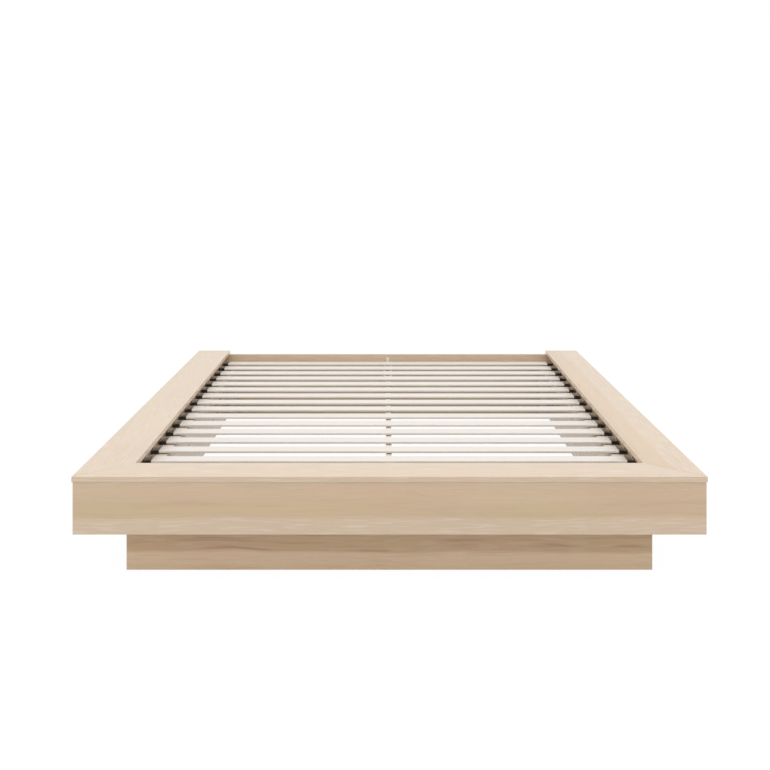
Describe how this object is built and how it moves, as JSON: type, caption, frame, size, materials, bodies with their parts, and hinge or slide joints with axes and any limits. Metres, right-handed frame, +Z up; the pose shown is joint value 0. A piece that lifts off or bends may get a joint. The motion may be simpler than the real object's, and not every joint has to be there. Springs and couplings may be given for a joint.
{
  "type": "platform bed frame",
  "caption": "Low platform bed with a flat light-oak surround on box beams over a recessed plinth, and a sprung slat base sunk inside it.",
  "frame": {"origin": "on the floor, in the middle of the bed's outline seen from above", "axes": "+Y from the foot end to the head end, +Z up, +X to the right for someone standing at the foot end"},
  "size_m": [1.82, 2.19, 0.3123],
  "materials": {
    "oak_board": "particle board with a matt light-oak melamine print, grain along each board",
    "pine": "planed pine, untreated",
    "birch_slat": "laminated birch, sanded, edges rounded",
    "black_plastic": "moulded black plastic, satin",
    "zinc_steel": "folded and turned steel, zinc plated"
  },
  "bodies": {
    "root": {"top_panel_left": "oak_board", "top_panel_right": "oak_board", "top_panel_foot": "oak_board", "apron_left": "oak_board", "apron_right": "oak_board", "apron_foot": "oak_board", "inner_rail_left": "oak_board", "inner_rail_right": "oak_board", "inner_rail_foot": "oak_board", "head_rail": "oak_board", "beam_spacer_left_1": "oak_board", "beam_spacer_left_2": "oak_board", "beam_spacer_right_1": "oak_board", "beam_spacer_right_2": "oak_board", "beam_spacer_foot_1": "oak_board", "beam_spacer_foot_2": "oak_board", "plinth_left": "oak_board", "plinth_right": "oak_board", "plinth_foot": "oak_board", "plinth_head": "oak_board", "plinth_block_foot_left": "pine", "plinth_block_foot_right": "pine", "plinth_block_head_left": "pine", "plinth_block_head_right": "pine", "slat_batten_left": "pine", "slat_batten_right": "pine", "centre_rail": "pine", "centre_leg_1": "pine", "centre_leg_2": "pine", "centre_bracket_foot": "zinc_steel", "centre_bracket_head": "zinc_steel", "bracket_screw_foot": "zinc_steel", "bracket_screw_head": "zinc_steel", "beam_bolt_left_1": "zinc_steel", "beam_bolt_left_2": "zinc_steel", "beam_bolt_right_1": "zinc_steel", "beam_bolt_right_2": "zinc_steel", "slat_01": "birch_slat", "slat_02": "birch_slat", "slat_03": "birch_slat", "slat_04": "birch_slat", "slat_05": "birch_slat", "slat_06": "birch_slat", "slat_07": "birch_slat", "slat_08": "birch_slat", "slat_09": "birch_slat", "slat_10": "birch_slat", "slat_11": "birch_slat", "slat_12": "birch_slat", "slat_13": "birch_slat", "slat_14": "birch_slat", "slat_15": "birch_slat", "slat_16": "birch_slat", "slat_holders_left_1": "black_plastic", "slat_holders_left_2": "black_plastic", "slat_holders_right_1": "black_plastic", "slat_holders_right_2": "black_plastic"}
  },
  "joints": []
}
